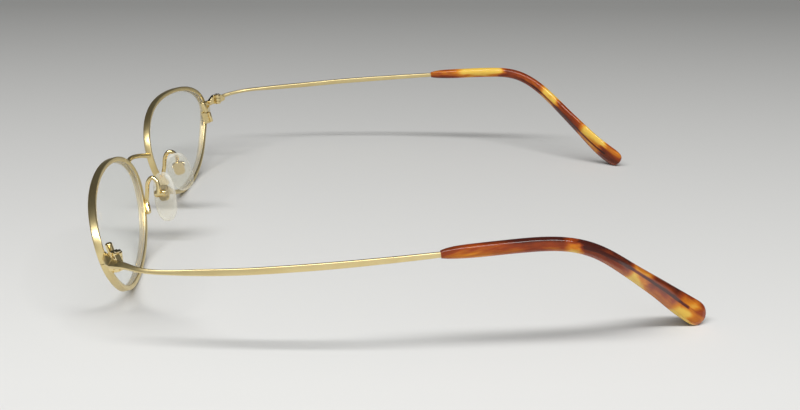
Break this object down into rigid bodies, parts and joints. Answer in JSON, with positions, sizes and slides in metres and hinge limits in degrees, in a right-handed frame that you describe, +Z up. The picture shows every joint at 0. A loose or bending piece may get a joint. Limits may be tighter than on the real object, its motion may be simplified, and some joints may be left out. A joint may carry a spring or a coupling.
{
  "type": "full-rim metal eyeglasses",
  "caption": "Oval full-rim metal eyeglasses with arched bridge, rocking silicone pads and folding temples with tortoiseshell tips.",
  "frame": {"origin": "on the surface the glasses rest on, under the middle of the bounding box", "axes": "+Z up, front faces -Y, temples run towards +Y, wearer's left is +X"},
  "size_m": [0.145, 0.1412, 0.0281],
  "materials": {
    "gold_satin": "brushed satin gold plate",
    "gold_polished": "polished gold plate",
    "screw_steel": "bright turned gold plate",
    "clear_lens": "clear uncoated plastic",
    "clear_silicone": "clear soft silicone",
    "tortoise_acetate": "polished tortoiseshell acetate"
  },
  "bodies": {
    "front": {"bridge": "gold_satin", "eyewire_left": "gold_satin", "lens_left": "clear_lens", "end_piece_left": "gold_satin", "front_hinge_left": "gold_polished", "hinge_screw_left": "screw_steel", "lock_upper_left": "gold_polished", "lock_lower_left": "gold_polished", "lock_screw_left": "screw_steel", "pad_arm_left": "gold_polished", "pad_box_left": "gold_polished", "pad_screw_left": "screw_steel", "eyewire_right": "gold_satin", "lens_right": "clear_lens", "end_piece_right": "gold_satin", "front_hinge_right": "gold_polished", "hinge_screw_right": "screw_steel", "lock_upper_right": "gold_polished", "lock_lower_right": "gold_polished", "lock_screw_right": "screw_steel", "pad_arm_right": "gold_polished", "pad_box_right": "gold_polished", "pad_screw_right": "screw_steel"},
    "temple_left": {"temple_hinge_left": "gold_polished", "temple_bar_left": "gold_satin", "temple_tip_left": "tortoise_acetate"},
    "nose_pad_left_body": {"pad_plate_left": "gold_polished", "nose_pad_left": "clear_silicone"},
    "temple_right": {"temple_hinge_right": "gold_polished", "temple_bar_right": "gold_satin", "temple_tip_right": "tortoise_acetate"},
    "nose_pad_right_body": {"pad_plate_right": "gold_polished", "nose_pad_right": "clear_silicone"}
  },
  "joints": [
    {"name": "temple_left_fold", "type": "hinge", "parent": "front", "child": "temple_left", "pos_m": [0.0607, -0.05733, 0.01875], "axis": [0, 0, 1], "range_deg": [0, 86]},
    {"name": "temple_right_fold", "type": "hinge", "parent": "front", "child": "temple_right", "pos_m": [-0.0607, -0.05733, 0.01875], "axis": [0, 0, -1], "range_deg": [0, 76]},
    {"name": "nose_pad_left_rock", "type": "hinge", "parent": "front", "child": "nose_pad_left_body", "pos_m": [0.0107, -0.05978, 0.0141], "axis": [0.2716, 0.9331, 0.2358], "range_deg": [-8, 8]},
    {"name": "nose_pad_right_rock", "type": "hinge", "parent": "front", "child": "nose_pad_right_body", "pos_m": [-0.0107, -0.05978, 0.0141], "axis": [-0.2716, 0.9331, 0.2358], "range_deg": [-8, 8]}
  ]
}
